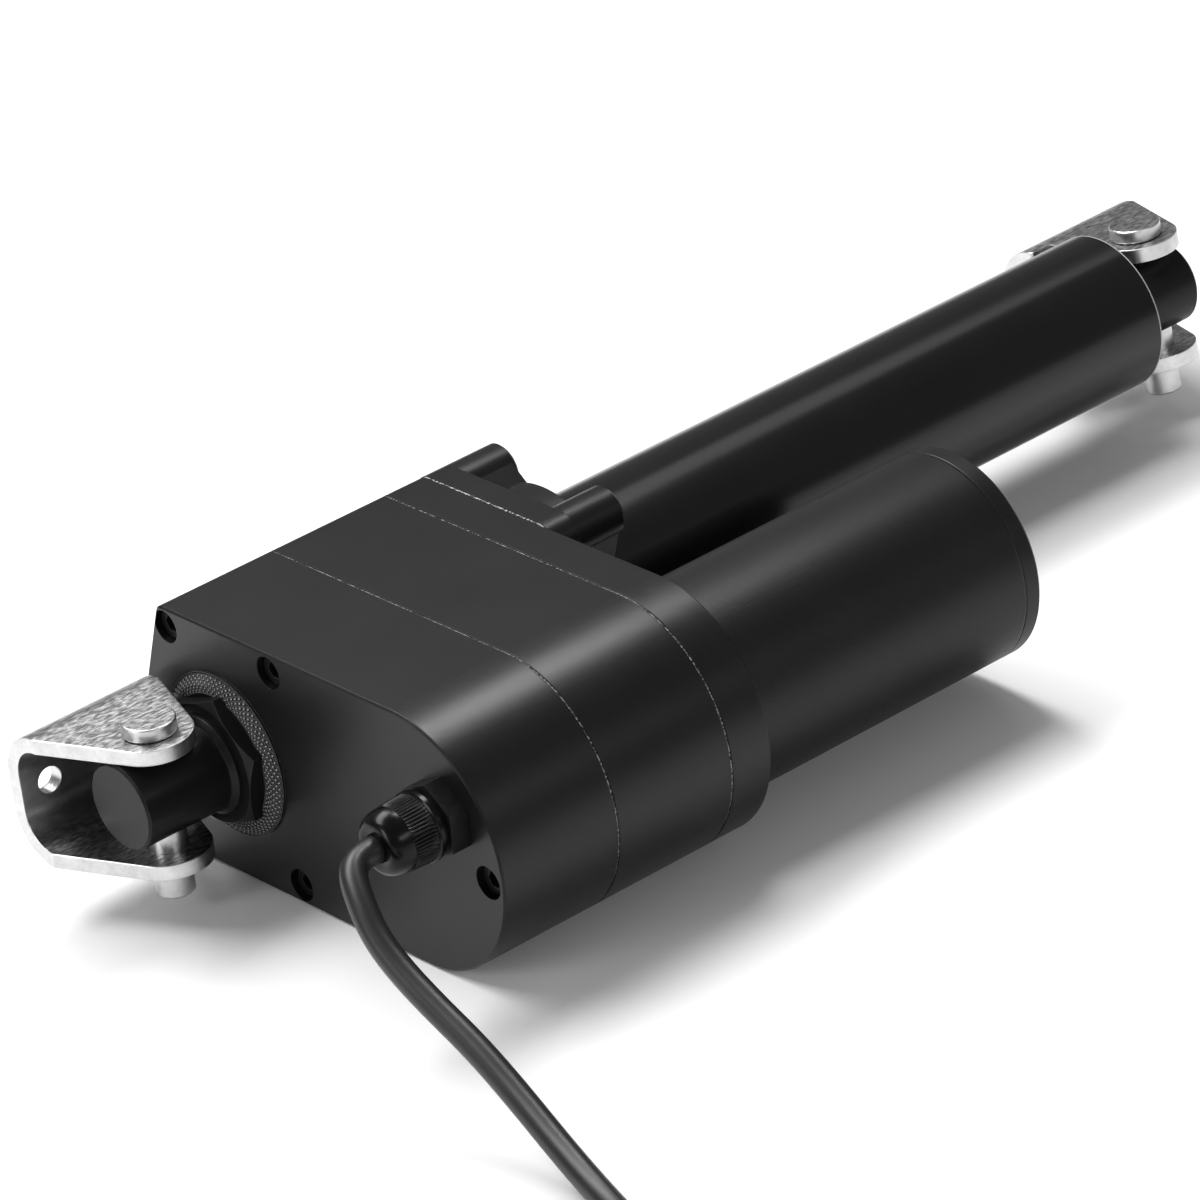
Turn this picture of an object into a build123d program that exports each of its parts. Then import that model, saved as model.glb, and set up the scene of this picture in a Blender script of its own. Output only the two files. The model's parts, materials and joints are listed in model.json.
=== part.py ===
from build123d import *
import os
from math import acos, atan2, cos, hypot, pi, radians, sin, sqrt, tan

os.makedirs("parts", exist_ok=True)

# Electric linear actuator: a gearbox housing carries a motor and a telescopic tube side by side.
# X is the direction in which the rod extends, Z is up, and the flat underside of the gearbox lies at zero.
# The origin is under the middle of the actuator's own box, without its cable. All sizes are millimetres.

# Gearbox housing: three layers behind each other, of one D-shaped outline
housing_height = 70.0
motor_offset = 70.7
tube_side_radius = 32.5
tube_side_slope = 21.5
corner_radius = 3.0
rear_cover_end = 36.3
middle_end = 73.0
front_cover_end = 86.0
gasket_thickness = 0.5
gasket_inset = 0.25
rear_wall = 10.0
side_wall = 5.0
edge_break = 0.5

# Screws through the housing
screw_diameter = 5.0
screw_head_diameter = 8.0
screw_head_height = 5.0
screw_socket_depth = 3.0
head_recess_diameter = 8.8
head_recess_depth = 7.0
screw_clearance = 0.2
tube_screw_y = 18.3
tube_screw_back_y = -22.6
tube_screw_z = 29.7
motor_screw_reach = 29.2
motor_screw_drop = 2.1
screw_boss_radius = 5.0

# Tube and its flange on the front of the housing
tube_radius = 21.7
tube_wall = 2.7
tube_front = 303.2
tube_seat = 88.5
flange_base_end = 94.0
flange_lobe_end = 110.0
flange_collar_end = 107.5
flange_collar_radius = 29.0
flange_lobe_radius = 6.8
flange_back_y = -30.2
flange_back_radius = 6.2
flange_web_end = 108.4
flange_web_inset = 0.4
flange_web_root = 0.7
flange_web_radius = 9.5
flange_edge = 0.8

# Rear eye, its lock nut and the knurled ring under it
rear_pin_back = 21.8
eye_radius = 11.65
eye_past_pin = 12.2
eye_edge = 0.6
collar_radius = 13.2
collar_length = 2.2
shank_radius = 10.0
shank_depth = 13.5
nut_across_flats = 32.0
nut_thickness = 3.9
nut_turn = 42.0
nut_corner_cone = 60.0
ring_radius = 22.2
ring_top_radius = 19.4
ring_thickness = 2.3
ring_rim = 0.7

# Brackets of folded sheet and their cross pins
sheet = 4.0
bracket_top = 16.1
bracket_bottom = -20.0
bracket_bend_radius = 13.2
bracket_reach = 33.4
bracket_long_side = 21.0
bracket_short_side = 18.6
bracket_lobe_radius = 11.0
base_hole_diameter = 7.0
base_hole_spacing = 22.0
pin_radius = 5.0
pin_head_radius = 7.0
pin_head_height = 3.4
pin_below_bracket = 8.9
pin_edge = 0.6
pin_clearance = 0.1
seat_gap = 0.3
tube_notch_gap = 1.2

# Rod, its end and the drive nut
stroke = 150.0
screw_lead = 5.0
rod_radius = 11.0
rod_wall = 3.0
rod_end_start = 304.0
front_pin_past_tube = 15.6
rod_end_past_pin = 9.0
rod_turn = 6.5
nut_start = 96.0
nut_length = 24.0
nut_clearance = 0.5
nut_spigot = 12.0
bushing_length = 20.0
wiper_length = 4.0
running_gap = 0.08

# Lead screw and its bearings
lead_screw_radius = 6.0
journal_radius = 5.0
rear_bearing_radius = 13.0
rear_bearing_width = 8.0
rear_bearing_start = 18.0
rear_boss_radius = 18.0
front_bearing_radius = 16.0
front_bearing_width = 10.0
lead_screw_end = 288.0
stop_washer_radius = 7.2
stop_washer_width = 3.0

# Gear train: tooth counts, one module, and the three planes in which the pairs run
module = 1.0
pinion_teeth = 12
first_wheel_teeth = 36
first_small_teeth = 14
second_wheel_teeth = 36
second_small_teeth = 14
screw_wheel_teeth = 40
centre_slack = 0.2
tooth_backlash = 0.16
pressure_angle = 20.0
first_plane = 62.0
second_plane = 53.0
third_plane = 42.0
first_width = 7.0
second_width = 7.0
third_width = 9.0
small_gear_overhang = 1.5
gear_shaft_radius = 3.0
first_arm_turn = 20.0

# Motor
motor_radius = 28.7
motor_wall = 2.2
motor_can_end = 178.2
motor_cap_end = 183.7
motor_cap_lip = 4.0
motor_shaft_radius = 4.0
magnet_thickness = 5.5
magnet_half_angle = 62.0
magnet_start = 112.0
magnet_end = 168.0
air_gap = 0.7
core_start = 118.0
core_end = 162.0
core_slots = 8
slot_radius = 2.6
winding_overhang = 5.0
commutator_start = 98.0
commutator_end = 108.0
commutator_radius = 9.0
commutator_bars = 8
brush_width = 5.0
brush_length = 8.0
brush_plate_start = 94.0
brush_plate_thickness = 2.0
motor_plate_thickness = 4.0
motor_bearing_radius = 11.0
motor_bearing_width = 7.0

# Limit switches on a strip along the bottom of the tube
strip_width = 8.0
strip_thickness = 1.2
strip_start = 90.0
strip_end = 278.0
switch_length = 10.0
switch_height = 3.0
nut_channel_width = 10.0

# Cable gland and cable
gland_y = -86.2
gland_z = 12.2
gland_hex = 18.0
gland_turn = 35.0
gland_hex_length = 5.3
gland_neck_radius = 7.6
gland_nut_start = 6.6
gland_nut_radius = 9.3
gland_grip_end = 15.6
gland_tip = 21.3
gland_tip_radius = 5.2
gland_thread_radius = 6.0
gland_thread_length = 16.0
gland_lock_nut_hex = 16.0
gland_lock_nut_thickness = 3.5
gland_cavity_radius = 6.1
gland_seal_length = 4.8
cable_diameter = 7.0
lead_diameter = 1.8
lead_spacing = 2.4
lead_end_length = 14.0

# Loose cable: its route behind the gland in the part's own frame, down to the floor and to the coil
cable_route = [
    (-173.6, -50.05, 47.2),
    (-178.4, -52.9, 45.9),
    (-181.6, -59.3, 41.9),
    (-184.0, -66.7, 36.3),
    (-184.9, -75.5, 31.2),
    (-185.3, -87.0, 26.0),
    (-185.8, -103.0, 20.0),
    (-187.6, -119.8, 13.2),
    (-190.8, -138.0, 7.2),
    (-194.8, -156.8, 3.5),
    (-199.7, -174.6, 3.5),
    (-205.9, -192.6, 3.5),
    (-213.2, -212.4, 3.5),
]
coil_centre = (-252.6, -197.8)
coil_outer_turn = 42.0
cable_end_start = (-236.6, -224.8)
cable_end_stop = (-259.6, -218.8)

# Places of the main axes in the part's own frame
half_height = housing_height / 2
axis_y = (motor_offset + half_height - bracket_reach) / 2
axis_z = half_height
front_pin = tube_front + front_pin_past_tube
rear_reach = rear_pin_back + bracket_long_side
front_reach = front_pin + bracket_short_side
face_x = (rear_reach - front_reach) / 2
motor_y = axis_y - motor_offset


def face(distance):
    """The plane square to the tube at this distance in front of the housing's rear face, on the tube's axis."""
    return Plane(origin=(face_x + distance, axis_y, axis_z), x_dir=(0, 1, 0), z_dir=(1, 0, 0))


def motor_face(distance):
    """The same, centred on the motor's axis."""
    return Plane(origin=(face_x + distance, motor_y, axis_z), x_dir=(0, 1, 0), z_dir=(1, 0, 0))


def save(part, label):
    part.label = label
    export_step(part, "parts/" + label + ".step")


tube_screw_places = [
    (y, z * tube_screw_z) for y in (tube_screw_y, tube_screw_back_y) for z in (1, -1)
]
motor_screw_place = (-motor_offset - motor_screw_reach, -motor_screw_drop)
all_screw_places = tube_screw_places + [motor_screw_place]

# D-shaped outline: round at the motor, with two sloping flats and a rounder nose at the tube
slope_dir = (cos(radians(tube_side_slope)), sin(radians(tube_side_slope)))
nose_point = (tube_side_radius * slope_dir[0], tube_side_radius * slope_dir[1])
corner_y = (tube_side_radius - half_height * slope_dir[1]) / slope_dir[0]

with BuildSketch() as outline:
    with BuildLine():
        Line((-motor_offset, half_height), (corner_y, half_height))
        Line((corner_y, half_height), nose_point)
        ThreePointArc(nose_point, (tube_side_radius, 0), (nose_point[0], -nose_point[1]))
        Line((nose_point[0], -nose_point[1]), (corner_y, -half_height))
        Line((corner_y, -half_height), (-motor_offset, -half_height))
        ThreePointArc(
            (-motor_offset, -half_height),
            (-motor_offset - half_height, 0),
            (-motor_offset, half_height),
        )
    make_face()
    fillet(outline.vertices().group_by(Axis.X)[-2], corner_radius)

# Inside of the housing: the outline set in by the wall, less the bosses around the screws
with BuildSketch() as cavity:
    add(outline.sketch)
    offset(amount=-side_wall, kind=Kind.ARC, mode=Mode.REPLACE)
    with Locations(*all_screw_places):
        Circle(screw_boss_radius, mode=Mode.SUBTRACT)

# Gasket outline, a little inside the edges of the layers it lies between
with BuildSketch() as gasket_outline:
    add(outline.sketch)
    offset(amount=-gasket_inset, kind=Kind.ARC, mode=Mode.REPLACE)
    add(cavity.sketch, mode=Mode.SUBTRACT)
    with Locations(*all_screw_places):
        Circle(screw_diameter / 2 + screw_clearance, mode=Mode.SUBTRACT)

rear_cover_front = rear_cover_end - gasket_thickness / 2
middle_start = rear_cover_end + gasket_thickness / 2
middle_front = middle_end - gasket_thickness / 2
front_cover_start = middle_end + gasket_thickness / 2
flange_start = front_cover_end + gasket_thickness
web_end = third_plane - 1.5
screw_bore = screw_diameter / 2 + screw_clearance
bearing_seat_gap = 0.03
shaft_gap = 0.1


def bore(radius, start, end, places=((0, 0),), plane=face):
    """Cuts round holes between two distances in front of the housing's rear face."""
    with BuildSketch(plane(start)) as rounds:
        with Locations(*places):
            Circle(radius)
    extrude(rounds.sketch, amount=end - start, mode=Mode.SUBTRACT)


def boss(radius, start, end, places=((0, 0),), plane=face):
    """Adds round bosses between two distances in front of the housing's rear face."""
    with BuildSketch(plane(start)) as rounds:
        with Locations(*places):
            Circle(radius)
    extrude(rounds.sketch, amount=end - start)


def disc_between(radius, hole, start, end, plane=face):
    """A plain ring or sleeve on an axis parallel to the tube."""
    with BuildPart() as ring:
        with BuildSketch(plane(start)):
            Circle(radius)
            if hole:
                Circle(hole, mode=Mode.SUBTRACT)
        extrude(amount=end - start)
    return ring.part


# Where the two compound gears stand: each pair runs at its own centre distance, in a zigzag
def centre_distance(driver, wheel):
    return module * (driver + wheel) / 2 + centre_slack


first_distance = centre_distance(pinion_teeth, first_wheel_teeth)
second_distance = centre_distance(first_small_teeth, second_wheel_teeth)
third_distance = centre_distance(second_small_teeth, screw_wheel_teeth)
first_place = (
    -motor_offset + first_distance * cos(radians(first_arm_turn)),
    first_distance * sin(radians(first_arm_turn)),
)
first_reach = hypot(*first_place)
along = (third_distance**2 - second_distance**2 + first_reach**2) / (2 * first_reach)
aside = sqrt(third_distance**2 - along**2)
reach_dir = (first_place[0] / first_reach, first_place[1] / first_reach)
second_place = (
    along * reach_dir[0] - aside * reach_dir[1],
    along * reach_dir[1] + aside * reach_dir[0],
)
gear_places = [first_place, second_place]
gear_shaft_start = web_end - 3.0
gear_shaft_end = front_cover_start + 5.0
lead_hole_radius = 3.0
lead_place = (gland_y, gland_z)

# Rear cover: closed back wall, with the boss that takes the rear eye and the rear bearing
with BuildPart() as rear_cover:
    with BuildSketch(face(0)):
        add(outline.sketch)
    extrude(amount=rear_cover_front)
    chamfer(rear_cover.faces().sort_by(Axis.X)[0].edges(), edge_break)
    with BuildSketch(face(rear_wall)):
        add(cavity.sketch)
    extrude(amount=rear_cover_front - rear_wall, mode=Mode.SUBTRACT)
    boss(rear_boss_radius, rear_wall, rear_bearing_start + rear_bearing_width)
    bore(shank_radius + running_gap, 0, shank_depth + 0.5)
    bore(journal_radius + 1.0, shank_depth, rear_bearing_start)
    bore(
        rear_bearing_radius + bearing_seat_gap,
        rear_bearing_start,
        rear_bearing_start + rear_bearing_width,
    )
    bore(screw_bore, 0, rear_cover_front, all_screw_places)
    bore(head_recess_diameter / 2, 0, head_recess_depth, all_screw_places)
    bore(gland_thread_radius + 0.1, 0, rear_wall, [lead_place])
save(rear_cover.part, "rear_cover")

# Middle housing: gear chamber with a web that carries the rear ends of the gear shafts
with BuildPart() as middle_housing:
    with BuildSketch(face(middle_start)):
        add(outline.sketch)
    extrude(amount=middle_front - middle_start)
    with BuildSketch(face(web_end)):
        add(cavity.sketch)
    extrude(amount=middle_front - web_end, mode=Mode.SUBTRACT)
    bore(lead_screw_radius + 1.0, middle_start, web_end)
    bore(gear_shaft_radius + 0.02, gear_shaft_start, web_end, gear_places)
    bore(lead_hole_radius, middle_start, web_end, [lead_place])
    bore(screw_bore, middle_start, middle_front, all_screw_places)
save(middle_housing.part, "middle_housing")

motor_pilot_radius = 13.5
motor_plate_boss_start = front_cover_end - 6.0
motor_screw_z = 20.0
motor_screw_places = [(0, motor_screw_z), (0, -motor_screw_z)]

# Front cover: seats the front bearing, the motor's pilot and the front ends of the gear shafts
with BuildPart() as front_cover:
    with BuildSketch(face(front_cover_start)):
        add(outline.sketch)
    extrude(amount=front_cover_end - front_cover_start)
    chamfer(front_cover.faces().sort_by(Axis.X)[-1].edges(), edge_break)
    bore(
        front_bearing_radius + bearing_seat_gap,
        front_cover_start,
        front_cover_start + front_bearing_width,
    )
    bore(lead_screw_radius + 3.0, front_cover_start, front_cover_end)
    bore(gear_shaft_radius + 0.02, front_cover_start, gear_shaft_end, gear_places)
    bore(motor_pilot_radius + 0.1, front_cover_start, front_cover_end, plane=motor_face)
    bore(2.2, front_cover_start, front_cover_end, motor_screw_places, motor_face)
    bore(
        3.8, front_cover_start, front_cover_start + 5.0, motor_screw_places, motor_face
    )
    bore(lead_hole_radius, front_cover_start, front_cover_end, [lead_place])
    bore(screw_bore, front_cover_start, front_cover_end, all_screw_places)
save(front_cover.part, "front_cover")

# Thin gaskets between the layers
for label, start in (("rear_gasket", rear_cover_front), ("middle_gasket", middle_front)):
    with BuildPart() as gasket:
        with BuildSketch(face(start)):
            add(gasket_outline.sketch)
        extrude(amount=gasket_thickness)
    save(gasket.part, label)

# Tube flange: a plate with four screw lobes and a round collar that grips the tube
lobe_z = half_height - flange_lobe_radius
lobe_places = [(y, z) for y, _ in tube_screw_places[::2] for z in (lobe_z, -lobe_z)]

with BuildSketch() as flange_outline:
    add(outline.sketch)
    with Locations((flange_back_y - half_height * 3, 0)):
        Rectangle(half_height * 6, housing_height, mode=Mode.SUBTRACT)
    fillet(flange_outline.vertices().group_by(Axis.X)[0], flange_back_radius)


def lobe_web(place):
    """Outline of the web between one screw lobe and the collar, a little slimmer than the lobe."""
    root = (place[0] * flange_web_root, place[1] * flange_web_root)
    with BuildSketch() as web:
        with Locations(place):
            Circle(flange_lobe_radius - flange_web_inset)
        with Locations(root):
            Circle(flange_web_radius)
        make_hull()
        Circle(tube_radius + 1.0, mode=Mode.SUBTRACT)
    return web.sketch


with BuildPart() as tube_flange:
    with BuildSketch(face(flange_start)):
        add(flange_outline.sketch)
    extrude(amount=flange_base_end - flange_start)
    boss(flange_lobe_radius, flange_start, flange_lobe_end, lobe_places)
    chamfer(
        tube_flange.faces().group_by(Axis.X)[-1].edges().filter_by(GeomType.CIRCLE),
        flange_edge,
    )
    for lobe_place in lobe_places:
        with BuildSketch(face(flange_base_end - 1.0)):
            add(lobe_web(lobe_place))
        extrude(amount=flange_web_end - flange_base_end + 1.0)
    boss(flange_collar_radius, flange_start, flange_collar_end)
    bore(tube_radius + 0.05, tube_seat, flange_collar_end)
    bore(tube_radius - tube_wall, flange_start, tube_seat)
    bore(screw_bore, flange_start, flange_lobe_end - 4.0, tube_screw_places)
save(tube_flange.part, "tube_flange")

with BuildPart() as flange_gasket:
    with BuildSketch(face(front_cover_end)):
        add(flange_outline.sketch)
        offset(amount=-gasket_inset, kind=Kind.ARC, mode=Mode.REPLACE)
        Circle(tube_radius - tube_wall, mode=Mode.SUBTRACT)
        with Locations(*tube_screw_places):
            Circle(screw_bore, mode=Mode.SUBTRACT)
    extrude(amount=gasket_thickness)
save(flange_gasket.part, "flange_gasket")

# Knurled ring: a shallow cone on the rear wall, under the lock nut
with BuildPart() as knurled_ring:
    with BuildSketch(face(0)):
        Circle(ring_radius)
    extrude(amount=-ring_rim)
    with BuildSketch(face(-ring_rim)):
        Circle(ring_radius)
    with BuildSketch(face(-ring_thickness)):
        Circle(ring_top_radius)
    loft()
    bore(shank_radius + shaft_gap, -ring_thickness, 0)
save(knurled_ring.part, "knurled_ring")


def chamfered_hexagon(flats, start, thickness, hole, turn, place=(0, 0)):
    """A hexagon nut whose back corners are turned off by a cone, with its hole."""
    with BuildPart() as nut:
        with BuildSketch(face(start)):
            with Locations(place):
                RegularPolygon(flats / 2, 6, major_radius=False, rotation=turn)
        extrude(amount=-thickness)
        with BuildSketch(face(start)):
            with Locations(place):
                Circle(flats / 2 + thickness * tan(radians(nut_corner_cone)))
        extrude(amount=-thickness, taper=nut_corner_cone, mode=Mode.INTERSECT)
        with BuildSketch(face(start)):
            with Locations(place):
                Circle(hole)
        extrude(amount=-thickness, mode=Mode.SUBTRACT)
    return nut.part


lock_nut_start = -ring_thickness - 0.02
lock_nut_end = lock_nut_start - nut_thickness
save(
    chamfered_hexagon(
        nut_across_flats, lock_nut_start, nut_thickness, shank_radius + shaft_gap, nut_turn
    ),
    "lock_nut",
)

# Rear eye: round bar with a cross hole for the pin, a collar against the nut and a shank in the cover
eye_end = -rear_pin_back - eye_past_pin
collar_start = lock_nut_end - collar_length

with BuildPart() as rear_eye:
    boss(eye_radius, eye_end, collar_start)
    chamfer(rear_eye.faces().sort_by(Axis.X)[0].edges(), eye_edge)
    boss(collar_radius, collar_start, lock_nut_end - 0.02)
    chamfer(
        rear_eye.edges().filter_by(GeomType.CIRCLE).sort_by(SortBy.RADIUS)[-2:].sort_by(Axis.X)[0],
        1.2,
    )
    boss(shank_radius, collar_start, shank_depth)
    with BuildSketch(Plane.XY):
        with Locations((face_x - rear_pin_back, axis_y)):
            Circle(pin_radius + pin_clearance)
    extrude(amount=housing_height, mode=Mode.SUBTRACT)
save(rear_eye.part, "rear_eye")

# Bracket: one folded sheet, two tapered ears with a round lobe about the pin and a flat base
bracket_flat = bracket_reach - bracket_bend_radius
bracket_height = bracket_top - bracket_bottom
bracket_middle = (bracket_top + bracket_bottom) / 2
base_hole_middle = (bracket_short_side - bracket_long_side) / 2
notch_side = front_pin - tube_front - tube_notch_gap
notch_height = sqrt(tube_radius**2 - (bracket_top - sheet) ** 2) + tube_notch_gap


def tangent_on_lobe(side):
    """Where the straight edge from the bend's corner meets the lobe."""
    corner = (side, bracket_flat)
    reach = hypot(*corner)
    angle = atan2(corner[1], abs(corner[0])) - acos(bracket_lobe_radius / reach)
    return (
        bracket_lobe_radius * cos(angle) * side / abs(side),
        bracket_lobe_radius * sin(angle),
    )


def bracket(pin_plane, notch=False):
    """The bracket about a pin plane: its X runs along the base, its Y points at the base."""
    left = tangent_on_lobe(-bracket_long_side)
    right = tangent_on_lobe(bracket_short_side)
    side_plane = Plane(
        origin=pin_plane.from_local_coords((-bracket_long_side, 0, 0)),
        x_dir=pin_plane.y_dir,
        z_dir=pin_plane.x_dir,
    )
    with BuildSketch(pin_plane.offset(bracket_bottom)) as plan:
        with BuildLine():
            Line((-bracket_long_side, bracket_reach), (-bracket_long_side, bracket_flat))
            Line((-bracket_long_side, bracket_flat), left)
            ThreePointArc(left, (0, -bracket_lobe_radius), right)
            Line(right, (bracket_short_side, bracket_flat))
            Line((bracket_short_side, bracket_flat), (bracket_short_side, bracket_reach))
            Line((bracket_short_side, bracket_reach), (-bracket_long_side, bracket_reach))
        make_face()
        if notch:
            with Locations((-bracket_long_side, 0)):
                Rectangle(
                    2 * (bracket_long_side - notch_side),
                    2 * notch_height,
                    mode=Mode.SUBTRACT,
                )
    inner_reach = bracket_reach - sheet
    inner_bend = bracket_bend_radius - sheet
    open_end = -bracket_lobe_radius
    with BuildSketch(side_plane) as fold:
        with BuildLine():
            FilletPolyline(
                (open_end, bracket_top),
                (bracket_reach, bracket_top),
                (bracket_reach, bracket_bottom),
                (open_end, bracket_bottom),
                radius=bracket_bend_radius,
            )
            Line((open_end, bracket_bottom), (open_end, bracket_bottom + sheet))
            FilletPolyline(
                (open_end, bracket_bottom + sheet),
                (inner_reach, bracket_bottom + sheet),
                (inner_reach, bracket_top - sheet),
                (open_end, bracket_top - sheet),
                radius=inner_bend,
            )
            Line((open_end, bracket_top - sheet), (open_end, bracket_top))
        make_face()
    with BuildPart() as folded:
        extrude(plan.sketch, amount=bracket_height)
        extrude(
            fold.sketch,
            amount=bracket_long_side + bracket_short_side,
            mode=Mode.INTERSECT,
        )
        with BuildSketch(pin_plane.offset(bracket_bottom)):
            Circle(pin_radius + pin_clearance)
        extrude(amount=bracket_height, mode=Mode.SUBTRACT)
        base_plane = Plane(
            origin=pin_plane.from_local_coords((base_hole_middle, 0, bracket_middle)),
            x_dir=pin_plane.x_dir,
            z_dir=pin_plane.y_dir,
        )
        with BuildSketch(base_plane):
            with GridLocations(base_hole_spacing, 1, 2, 1):
                Circle(base_hole_diameter / 2)
        extrude(amount=bracket_reach, mode=Mode.SUBTRACT)
    return folded.part


rear_pin_plane = Plane(
    origin=(face_x - rear_pin_back, axis_y, axis_z), x_dir=(1, 0, 0), z_dir=(0, 0, 1)
)
front_pin_plane = Plane(
    origin=(face_x + front_pin, axis_y, axis_z),
    x_dir=(1, 0, 0),
    z_dir=(0, sin(radians(rod_turn)), cos(radians(rod_turn))),
)
save(bracket(rear_pin_plane), "rear_bracket")
save(bracket(front_pin_plane, notch=True), "front_bracket")


# Cross pin: a round head that lies on the upper ear and a plain shank with a broken lower edge
def cross_pin(pin_plane):
    with BuildPart() as pin:
        with BuildSketch(pin_plane.offset(bracket_bottom - pin_below_bracket)):
            Circle(pin_radius)
        extrude(amount=bracket_height + pin_below_bracket + seat_gap)
        chamfer(pin.faces().sort_by(Axis.Z)[0].edges(), pin_edge)
        with BuildSketch(pin_plane.offset(bracket_top + seat_gap)):
            Circle(pin_head_radius)
        extrude(amount=pin_head_height)
        chamfer(pin.faces().sort_by(Axis.Z)[-1].edges(), pin_edge / 2)
    return pin.part


save(cross_pin(rear_pin_plane), "rear_pin")
save(cross_pin(front_pin_plane), "front_pin")

# Telescopic tube with its front bushing and wiper
tube_bore = tube_radius - tube_wall
save(disc_between(tube_radius, tube_bore, tube_seat, tube_front), "outer_tube")
wiper_start = tube_front - wiper_length
bushing_start = wiper_start - bushing_length
bushing_radius = tube_bore - bearing_seat_gap
rod_bore = rod_radius + running_gap

with BuildPart() as front_bushing:
    boss(bushing_radius, bushing_start, wiper_start)
    bore(rod_bore, bushing_start, wiper_start)
    bore(rod_bore + 1.0, bushing_start + 6.0, bushing_start + 8.0)
    bore(rod_bore + 1.0, wiper_start - 8.0, wiper_start - 6.0)
save(front_bushing.part, "front_bushing")

# Wiper: a ring with a lip that leans forward onto the rod
with BuildPart() as rod_wiper:
    boss(bushing_radius, wiper_start, tube_front - 0.4)
    bore(rod_bore, wiper_start, tube_front)
    with BuildSketch(face(wiper_start + 1.5)) as lip_groove:
        Circle(bushing_radius - 2.5)
        Circle(rod_bore + 1.4, mode=Mode.SUBTRACT)
    extrude(amount=wiper_length, mode=Mode.SUBTRACT)
save(rod_wiper.part, "rod_wiper")

# Rod: a tube on the nut's spigot at the back and on the rod end's spigot at the front
nut_end = nut_start + nut_length
rod_inner = rod_radius - rod_wall
save(disc_between(rod_radius, rod_inner, nut_end, rod_end_start), "inner_rod")

with BuildPart() as rod_end:
    boss(eye_radius, rod_end_start, front_pin + rod_end_past_pin)
    chamfer(rod_end.faces().sort_by(Axis.X)[-1].edges(), eye_edge * 2)
    boss(rod_inner - shaft_gap / 2, rod_end_start - nut_spigot, rod_end_start)
    with BuildSketch(front_pin_plane.offset(-half_height)):
        Circle(pin_radius + pin_clearance)
    extrude(amount=housing_height, mode=Mode.SUBTRACT)
save(rod_end.part, "rod_end")

# Drive nut: rides on the lead screw, with a channel underneath that clears the limit switches
strip_floor = sqrt(tube_bore**2 - (strip_width / 2) ** 2)
switch_top = strip_floor - strip_thickness - switch_height

with BuildPart() as drive_nut:
    boss(tube_bore - nut_clearance, nut_start, nut_end)
    chamfer(drive_nut.edges().filter_by(GeomType.CIRCLE), 0.8)
    boss(rod_inner - shaft_gap / 2, nut_end, nut_end + nut_spigot)
    bore(lead_screw_radius + running_gap, nut_start, nut_end + nut_spigot)
    with BuildSketch(face(nut_start)):
        with Locations((0, -switch_top - tube_radius + nut_clearance)):
            Rectangle(nut_channel_width, 2 * tube_radius)
    extrude(amount=nut_length, mode=Mode.SUBTRACT)
save(drive_nut.part, "drive_nut")

# Strip with one switch at each end of the stroke, the nut's channel passes over both
with BuildPart() as switch_strip:
    with BuildSketch(face(strip_start)):
        with Locations((0, -strip_floor + strip_thickness / 2 + 0.05)):
            Rectangle(strip_width, strip_thickness)
    extrude(amount=strip_end - strip_start)
save(switch_strip.part, "switch_strip")

rear_switch_start = nut_start - 3.0
front_switch_start = nut_end + stroke + 3.0 - switch_length
strip_face = -strip_floor + strip_thickness + 0.05
with BuildPart() as limit_switches:
    for start in (rear_switch_start, front_switch_start):
        with BuildSketch(face(start)):
            with Locations((0, strip_face + switch_height / 2)):
                Rectangle(strip_width - 2.0, switch_height - 0.6)
        extrude(amount=switch_length)
        with BuildSketch(face(start + switch_length / 2 - 1.0)):
            with Locations((0, strip_face + switch_height - 0.4)):
                Rectangle(3.0, 0.5)
        extrude(amount=2.0)
save(limit_switches.part, "limit_switches")

# Lead screw: rear journal, gear seat, shoulder behind the front bearing, thread body and end stub
rear_bearing_end = rear_bearing_start + rear_bearing_width
front_bearing_end = front_cover_start + front_bearing_width
stop_start = lead_screw_end - stop_washer_width - 0.5
stop_stub_radius = 4.0

with BuildPart() as lead_screw:
    boss(journal_radius, rear_bearing_start + 0.5, rear_bearing_end + 0.3)
    boss(lead_screw_radius, rear_bearing_end + 0.3, stop_start)
    boss(lead_screw_radius + 2.0, front_bearing_end + 0.1, front_cover_end + 1.0)
    boss(stop_stub_radius, stop_start, lead_screw_end)
    chamfer(lead_screw.faces().sort_by(Axis.X)[-1].edges(), 0.5)
save(lead_screw.part, "lead_screw")
save(
    disc_between(
        stop_washer_radius, stop_stub_radius + 0.03, stop_start, stop_start + stop_washer_width
    ),
    "screw_stop",
)


# Ball bearing: two rings with a shield between them, recessed on both faces
def bearing(outer, inner, start, width, plane=face):
    middle = (outer + inner) / 2
    groove = (outer - inner) * 0.2
    recess = width * 0.08
    with BuildPart() as rings:
        with BuildSketch(plane(start)):
            Circle(outer)
            Circle(inner, mode=Mode.SUBTRACT)
        extrude(amount=width)
        for at, depth in ((start, recess), (start + width, -recess)):
            with BuildSketch(plane(at)):
                Circle(middle + groove)
                Circle(middle - groove, mode=Mode.SUBTRACT)
            extrude(amount=depth, mode=Mode.SUBTRACT)
    return rings.part


save(
    bearing(rear_bearing_radius, journal_radius + 0.03, rear_bearing_start, rear_bearing_width),
    "screw_rear_bearing",
)
save(
    bearing(
        front_bearing_radius, lead_screw_radius + 0.03, front_cover_start, front_bearing_width
    ),
    "screw_front_bearing",
)


# Spur gear outline: each flank is the involute of the base circle, from the root to the tip
def involute_angle(radius, base):
    turn = sqrt(max((radius / base) ** 2 - 1, 0))
    return turn - atan2(turn, 1)


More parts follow.
